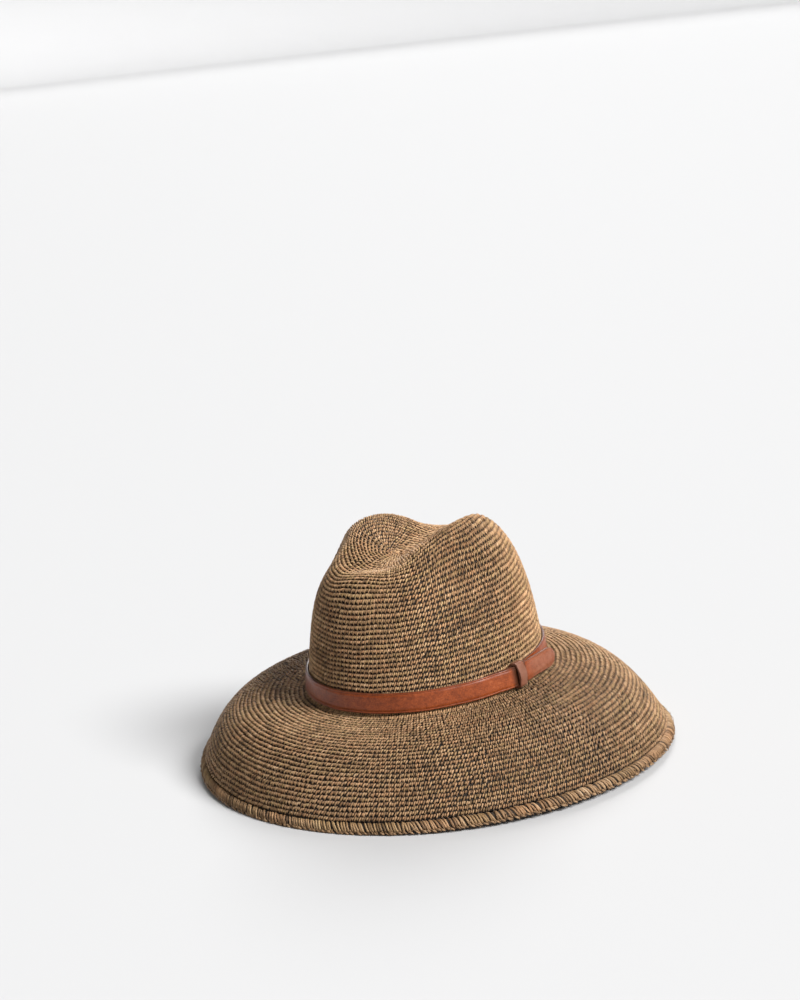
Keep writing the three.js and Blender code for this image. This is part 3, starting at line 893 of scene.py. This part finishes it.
def make_keeper(name):
    bm = bmesh.new()
    bm.from_mesh(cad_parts["keeper"].data)
    bmesh.ops.remove_doubles(bm, verts=bm.verts, dist=MERGE_DISTANCE)
    bmesh.ops.dissolve_limit(bm, angle_limit=KEEPER_FLAT, verts=bm.verts, edges=bm.edges)
    pairs = [e for e in bm.edges if len(e.link_faces) == 2]
    sharp = [e for e in pairs if e.calc_face_angle() > KEEPER_SHARP]
    bmesh.ops.bevel(bm, geom=sharp, offset=KEEPER_BEVEL * MM, offset_type="OFFSET", segments=3,
                    profile=0.5, affect="EDGES", clamp_overlap=True, material=-1)
    mesh = mesh_of(bm, name)
    a = math.radians(KEEPER_ANGLE)
    along = np.array([v.co[:] for v in mesh.vertices]) @ np.array([math.cos(a), math.sin(a), 0.0])
    from_middle = np.abs(along - (along.max() + along.min()) / 2) / (np.ptp(along) / 2)
    paint(mesh, "cut_edge", smoothstep(from_middle, *KEEPER_RIM))
    # A little painted sheen over the whole keeper, in patches.
    paint(mesh, "painted_sheen", np.full(len(mesh.vertices), KEEPER_SHEEN))
    return new_piece(name, mesh)


keeper_piece = make_keeper("keeper_loop")
print("keeper faces:", len(keeper_piece.data.polygons))

# %% [markdown]
# ## Raffia
#
# Raffia is a strip of dried palm leaf: matt to slightly glossy, with fine lines along it, and
# uneven in colour. The colour comes from the tone that each stitch carries, read through a
# colour ramp. Fine lines follow the strand's own UV map, and stains run over many stitches.
# Painted shade darkens each strand where it sinks low, and the brim and the edge get darker
# copies of the same raffia, which are painted shade too.


# %% Helpers for node materials
# Most of a noise texture's values lie between these two.
NOISE_SPREAD = (0.3, 0.7)


def new_material(name):
    """A material, its node tree and its shader."""
    material = bpy.data.materials.new(name)
    material.use_nodes = True
    tree = material.node_tree
    return material, tree, tree.nodes["Principled BSDF"]


def feed(tree, node, inputs):
    """Links each named input of a node, or sets it to a number or a colour."""
    for name, value in inputs.items():
        socket = node.inputs[name]
        if isinstance(value, bpy.types.NodeSocket):
            tree.links.new(value, socket)
        else:
            socket.default_value = (*value, 1) if socket.type == "RGBA" else value


def add_node(tree, kind, output, inputs, **settings):
    """Adds a node with its settings and inputs, and gives back one output."""
    node = tree.nodes.new("ShaderNode" + kind)
    for name, value in settings.items():
        setattr(node, name, value)
    feed(tree, node, inputs)
    return node.outputs[output]


def object_place(tree):
    return add_node(tree, "TexCoord", "Object", {})


def stretched_uv(tree, uv_map, scale):
    uv = add_node(tree, "UVMap", "UV", {}, uv_map=uv_map)
    return add_node(tree, "Mapping", "Vector", {"Vector": uv, "Scale": scale})


def noise(tree, vector, scale, detail, roughness):
    return add_node(tree, "TexNoise", "Fac", {"Vector": vector, "Scale": scale,
                                              "Detail": detail, "Roughness": roughness})


def attribute(tree, name):
    return add_node(tree, "Attribute", "Fac", {}, attribute_name=name)


def maths(tree, operation, a, b, clamp=False):
    return add_node(tree, "Math", "Value", {0: a, 1: b}, operation=operation, use_clamp=clamp)


def rescale(tree, value, low, high, to_low, to_high):
    return add_node(tree, "MapRange", "Result", {"Value": value, "From Min": low, "From Max": high,
                                                 "To Min": to_low, "To Max": to_high})


def ramp(tree, value, stops):
    node = tree.nodes.new("ShaderNodeValToRGB")
    elements = node.color_ramp.elements
    elements[0].position, elements[0].color = stops[0][0], (*stops[0][1], 1)
    elements[1].position, elements[1].color = stops[-1][0], (*stops[-1][1], 1)
    for position, color in stops[1:-1]:
        elements.new(position).color = (*color, 1)
    feed(tree, node, {"Fac": value})
    return node.outputs["Color"]


def mixed(tree, mode, factor, a, b):
    return add_node(tree, "Mix", "Result", {"Factor": factor, "A": a, "B": b},
                    data_type="RGBA", blend_type=mode)


def bump(tree, height, strength, distance):
    return add_node(tree, "Bump", "Normal", {"Height": height, "Strength": strength,
                                             "Distance": distance})


def vary(tree, tone, *patterns):
    """Adds each pattern to a tone, by about its amount either way, and clamps the last sum."""
    for k, (pattern, amount) in enumerate(patterns, 1):
        change = rescale(tree, pattern, *NOISE_SPREAD, -amount, amount)
        tone = maths(tree, "ADD", tone, change, clamp=k == len(patterns))
    return tone


def tint(tree, color, name, amount, target):
    """Turns a colour towards another one where the attribute says so."""
    share = maths(tree, "MULTIPLY", attribute(tree, name), amount)
    return mixed(tree, "MIX", share, color, target)


def dress(pieces, material):
    for piece in pieces:
        piece.data.materials.append(material)
    print(material.name, "on", len(pieces), "pieces")


# %% Raffia material
RAFFIA_STOPS = [
    (0.00, (0.085, 0.046, 0.018)),
    (0.30, (0.260, 0.145, 0.066)),
    (0.50, (0.430, 0.250, 0.122)),
    (0.72, (0.580, 0.358, 0.185)),
    (1.00, (0.760, 0.520, 0.310)),
]
OLIVE = (0.90, 0.94, 0.80)
REDDISH = (1.08, 0.96, 0.88)
# Colour of the painted shade on the low parts of the strands.
DEEP_SHADE = (0.18, 0.145, 0.11)
WHITE = (1.0, 1.0, 1.0)
# Noise scales, in repeats for each metre.
STAINS, GRAIN, FLECKS = 22.0, 900.0, 350.0


def raffia_material(name, brightness):
    material, tree, shader = new_material(name)
    place = object_place(tree)
    lines = noise(tree, stretched_uv(tree, "StrandUV", (0.8, 3.0, 1.0)), 3.0, 3.0, 0.6)
    stains = noise(tree, place, STAINS, 3.0, 0.6)
    grain = noise(tree, place, GRAIN, 2.0, 0.6)
    tone = vary(tree, attribute(tree, "tone"), (lines, 0.14), (stains, 0.05), (grain, 0.07))
    color = ramp(tree, tone, RAFFIA_STOPS)
    hues = [(0.15, OLIVE), (0.5, WHITE), (0.9, REDDISH)]
    color = mixed(tree, "MULTIPLY", 0.8, color, ramp(tree, attribute(tree, "warmth"), hues))
    # Painted shade: strands are darkened towards DEEP_SHADE where their value is low, and a
    # brightness below one makes a darker, shaded copy.
    depth = rescale(tree, attribute(tree, "painted_light_level"), 0.15, 0.85, 0.0, 1.0)
    shade = ramp(tree, depth, [(0.0, DEEP_SHADE), (1.0, (brightness,) * 3)])
    feed(tree, shader, {
        "Base Color": mixed(tree, "MULTIPLY", 1.0, color, shade),
        "Roughness": rescale(tree, lines, *NOISE_SPREAD, 0.48, 0.72),
        "Normal": bump(tree, lines, 0.5, 0.0002),
        "Specular IOR Level": 0.4,
        "Sheen Weight": 0.08,
        "Sheen Roughness": 0.4,
    })
    return material


# Near black with faint flecks: painted shade for what shows between the strands.
def painted_shade_material(name):
    material, tree, shader = new_material(name)
    fleck = noise(tree, object_place(tree), FLECKS, 2.0, 0.6)
    stops = [(0.35, (0.012, 0.008, 0.005)), (0.7, (0.035, 0.022, 0.012))]
    feed(tree, shader, {"Base Color": ramp(tree, fleck, stops), "Roughness": 0.9})
    return material


# The brim and the edge get darker copies of the same raffia: painted shade.
BRIM_SHADED_BRIGHTNESS, EDGE_SHADED_BRIGHTNESS = 0.79, 0.66
dress(crown_pieces, raffia_material("crocheted raffia", 1.0))
dress(brim_pieces, raffia_material("crocheted raffia of the brim", BRIM_SHADED_BRIGHTNESS))
dress([edge_winding, edge_loops], raffia_material("raffia of the edge", EDGE_SHADED_BRIGHTNESS))
dress([crown_ground, brim_ground, edge_core], painted_shade_material("raffia in shade"))

# %% [markdown]
# ## Leather
#
# The strap is vegetable-tanned leather, waxed and rubbed: a warm orange-brown with darker
# blotches, dark burnished cut edges and creases, and a soft broad shine. Its free end is painted
# paler in patches, a painted sheen, and a painted shadow darkens it beside the keeper. The keeper
# is duller and browner.


# %% Leather materials
# Paler colour of the painted sheen.
SHEEN_LEATHER = (0.27, 0.120, 0.072)
# Colour of the painted shadow beside the keeper.
KEEPER_SHADOW_LEATHER = (0.030, 0.012, 0.006)
# Noise scales, in repeats for each metre.
BLOTCHES, CLOUDS, PORES = 60.0, 300.0, 1000.0


def leather_material(name, stops, edge_color, roughness):
    material, tree, shader = new_material(name)
    place = object_place(tree)
    blotch = noise(tree, place, BLOTCHES, 3.0, 0.5)
    cloud = noise(tree, place, CLOUDS, 4.0, 0.6)
    pores = noise(tree, place, PORES, 3.0, 0.6)
    streaks = noise(tree, stretched_uv(tree, "StrapUV", (0.35, 9.0, 1.0)), 2.0, 3.0, 0.6)
    tone = rescale(tree, blotch, *NOISE_SPREAD, 0.44, 0.56)
    tone = vary(tree, tone, (cloud, 0.09), (streaks, 0.05), (pores, 0.11))
    color = ramp(tree, tone, stops)
    # Painted sheen: paler patches where the attribute says so.
    patches = rescale(tree, cloud, *NOISE_SPREAD, 0.25, 0.95)
    sheen_patches = maths(tree, "MULTIPLY", attribute(tree, "painted_sheen"), patches)
    color = mixed(tree, "MIX", sheen_patches, color, SHEEN_LEATHER)
    # Painted shadow beside the keeper.
    color = tint(tree, color, "keeper_shadow", 0.85, KEEPER_SHADOW_LEATHER)
    color = tint(tree, color, "crease", 0.55, edge_color)
    color = tint(tree, color, "cut_edge", 0.8, edge_color)
    height = maths(tree, "ADD", maths(tree, "MULTIPLY", pores, 0.4), cloud)
    feed(tree, shader, {
        "Base Color": color,
        "Roughness": rescale(tree, streaks, *NOISE_SPREAD, roughness - 0.08, roughness + 0.12),
        "Normal": bump(tree, height, 0.35, 0.0003),
        "Specular IOR Level": 0.35,
        "Coat Weight": 0.05,
        "Coat Roughness": 0.25,
    })
    return material


STRAP_STOPS = [
    (0.30, (0.11, 0.022, 0.005)),
    (0.44, (0.20, 0.038, 0.007)),
    (0.56, (0.27, 0.055, 0.011)),
    (0.72, (0.36, 0.090, 0.025)),
]
KEEPER_STOPS = [
    (0.30, (0.09, 0.024, 0.009)),
    (0.50, (0.16, 0.043, 0.017)),
    (0.70, (0.24, 0.078, 0.037)),
]
STRAP_EDGE_COLOR, STRAP_ROUGHNESS = (0.07, 0.022, 0.010), 0.36
KEEPER_EDGE_COLOR, KEEPER_ROUGHNESS = (0.23, 0.104, 0.066), 0.5
dress([strap_piece], leather_material("waxed strap leather", STRAP_STOPS, STRAP_EDGE_COLOR,
                                      STRAP_ROUGHNESS))
dress([keeper_piece], leather_material("keeper leather", KEEPER_STOPS, KEEPER_EDGE_COLOR,
                                       KEEPER_ROUGHNESS))

# %% [markdown]
# ## Which piece stands for which part of the model
#
# Every piece rides on the hat's one body. The pieces below take the place of the plain walls,
# whose parts are hidden. Each row also lists a material slot of the part library, which is not
# used.

# %% Pieces on the frame
for pieces, node, slot in (
    (crown_pieces + [crown_ground], "crown", "raffia"),
    (brim_pieces + [brim_ground], "brim", "raffia"),
    ([edge_winding, edge_loops, edge_core], "brim_edge", "raffia_edge"),
    ([strap_piece], "strap", "strap_leather"),
    ([keeper_piece], "keeper", "keeper_leather"),
):
    for piece in pieces:
        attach(piece, "root")
        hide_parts(node)

# %% [markdown]
# ## Floor, light and camera
#
# A wide pale floor curves up into a wall far away. A soft key light from the right models the
# rows, a weaker one from behind lights the back of the hat, and a little pale light from
# everywhere keeps the straw's own colour true in the shade.

# %% Floor
FLOOR_RADIUS = 20.0
COVE_RADIUS = 1.2
COVE_STEPS = 12
WALL_ABOVE_COVE = 1.0
FLOOR_TURNS = 96
FLOOR_MERGE = 1e-5
FLOOR_COLOR = (0.58, 0.58, 0.583)


def make_floor():
    bm = bmesh.new()
    profile = [Vector((0, 0, 0)), Vector((FLOOR_RADIUS, 0, 0))]
    for i in range(1, COVE_STEPS + 1):
        a = math.pi / 2 * i / COVE_STEPS
        out, up = FLOOR_RADIUS + COVE_RADIUS * math.sin(a), COVE_RADIUS * (1 - math.cos(a))
        profile.append(Vector((out, 0, up)))
    profile.append(profile[-1] + Vector((0, 0, WALL_ABOVE_COVE)))
    verts = [bm.verts.new(p) for p in profile]
    edges = [bm.edges.new(pair) for pair in zip(verts, verts[1:])]
    bmesh.ops.spin(bm, geom=verts + edges, cent=(0, 0, 0), axis=(0, 0, 1), angle=2 * math.pi,
                   steps=FLOOR_TURNS, use_merge=True)
    bmesh.ops.remove_doubles(bm, verts=bm.verts, dist=FLOOR_MERGE)
    return new_piece("studio_floor", mesh_of(bm, "studio_floor"))


studio_floor = make_floor()
floor_material, floor_tree, floor_shader = new_material("pale floor")
feed(floor_tree, floor_shader, {"Base Color": FLOOR_COLOR, "Roughness": 0.8})
dress([studio_floor], floor_material)


# %% Lights
def direction(azimuth, elevation):
    """Unit direction away from the hat, round from its front to the wearer's left, and up."""
    a, e = math.radians(azimuth), math.radians(elevation)
    return Vector((math.sin(a) * math.cos(e), -math.cos(a) * math.cos(e), math.sin(e)))


def new_light(name, kind, place, back):
    """The data of a new light that shines away from the direction back."""
    data = bpy.data.lights.new(name, kind)
    light = bpy.data.objects.new(name, data)
    light.location = place
    light.rotation_euler = back.to_track_quat("Z", "Y").to_euler()
    bpy.context.scene.collection.objects.link(light)
    return data


def area_light(name, place, aim, size, power):
    data = new_light(name, "AREA", place, Vector(place) - Vector(aim))
    data.shape, data.size, data.energy = "SQUARE", size, power


def sun_light(name, azimuth, elevation, strength, softness):
    """A far lamp. Only its direction counts."""
    towards = direction(azimuth, elevation)
    data = new_light(name, "SUN", towards * SUN_PLACE, towards)
    data.energy, data.angle = strength, math.radians(softness)


SUN_PLACE = 3
HAT_MIDDLE = (0, 0, 0.09)
FILL_PLACE = (1.6, -1.9, 1.0)
AMBIENT_STRENGTH = 0.15
sun_light("key", azimuth=90, elevation=39, strength=4.9, softness=22)
sun_light("back", azimuth=205, elevation=38, strength=1.8, softness=30)
area_light("fill", FILL_PLACE, HAT_MIDDLE, size=1.6, power=4)
world = bpy.data.worlds.new("soft studio")
bpy.context.scene.world = world
world.use_nodes = True
ambient = world.node_tree.nodes["Background"].inputs
ambient["Color"].default_value = (1, 1, 1, 1)
ambient["Strength"].default_value = AMBIENT_STRENGTH
bpy.context.scene.view_settings.view_transform = "Standard"

# %% Camera
CAMERA_AZIMUTH = 35.63
CAMERA_ELEVATION = 17.67
CAMERA_ROLL = 6.29
CAMERA_DISTANCE = 1.7
CAMERA_LENS = 79.16
CAMERA_FAR = 60
CAMERA_TARGET = Vector((0.00164, -0.00337, 0.06269))
AIM_UP = 0.1318
AIM_LEFT = 0.02095


def make_camera():
    a = math.radians(CAMERA_AZIMUTH)
    back = direction(CAMERA_AZIMUTH, CAMERA_ELEVATION)
    level_right = Vector((math.cos(a), math.sin(a), 0))
    level_up = back.cross(level_right)
    roll = math.radians(CAMERA_ROLL)
    right = level_right * math.cos(roll) - level_up * math.sin(roll)
    up = level_up * math.cos(roll) + level_right * math.sin(roll)
    place = CAMERA_TARGET + back * CAMERA_DISTANCE
    aim = CAMERA_TARGET + up * AIM_UP - right * AIM_LEFT
    forward = (aim - place).normalized()
    side = forward.cross(up).normalized()
    top = side.cross(forward)
    data = bpy.data.cameras.new("camera")
    data.lens = CAMERA_LENS
    data.clip_end = CAMERA_FAR
    camera = bpy.data.objects.new("camera", data)
    matrix = camera.matrix_world.to_3x3()
    matrix.col[0], matrix.col[1], matrix.col[2] = side, top, -forward
    camera.matrix_world = matrix.to_4x4()
    camera.location = place
    bpy.context.scene.collection.objects.link(camera)
    bpy.context.scene.camera = camera


make_camera()
print("camera ready")
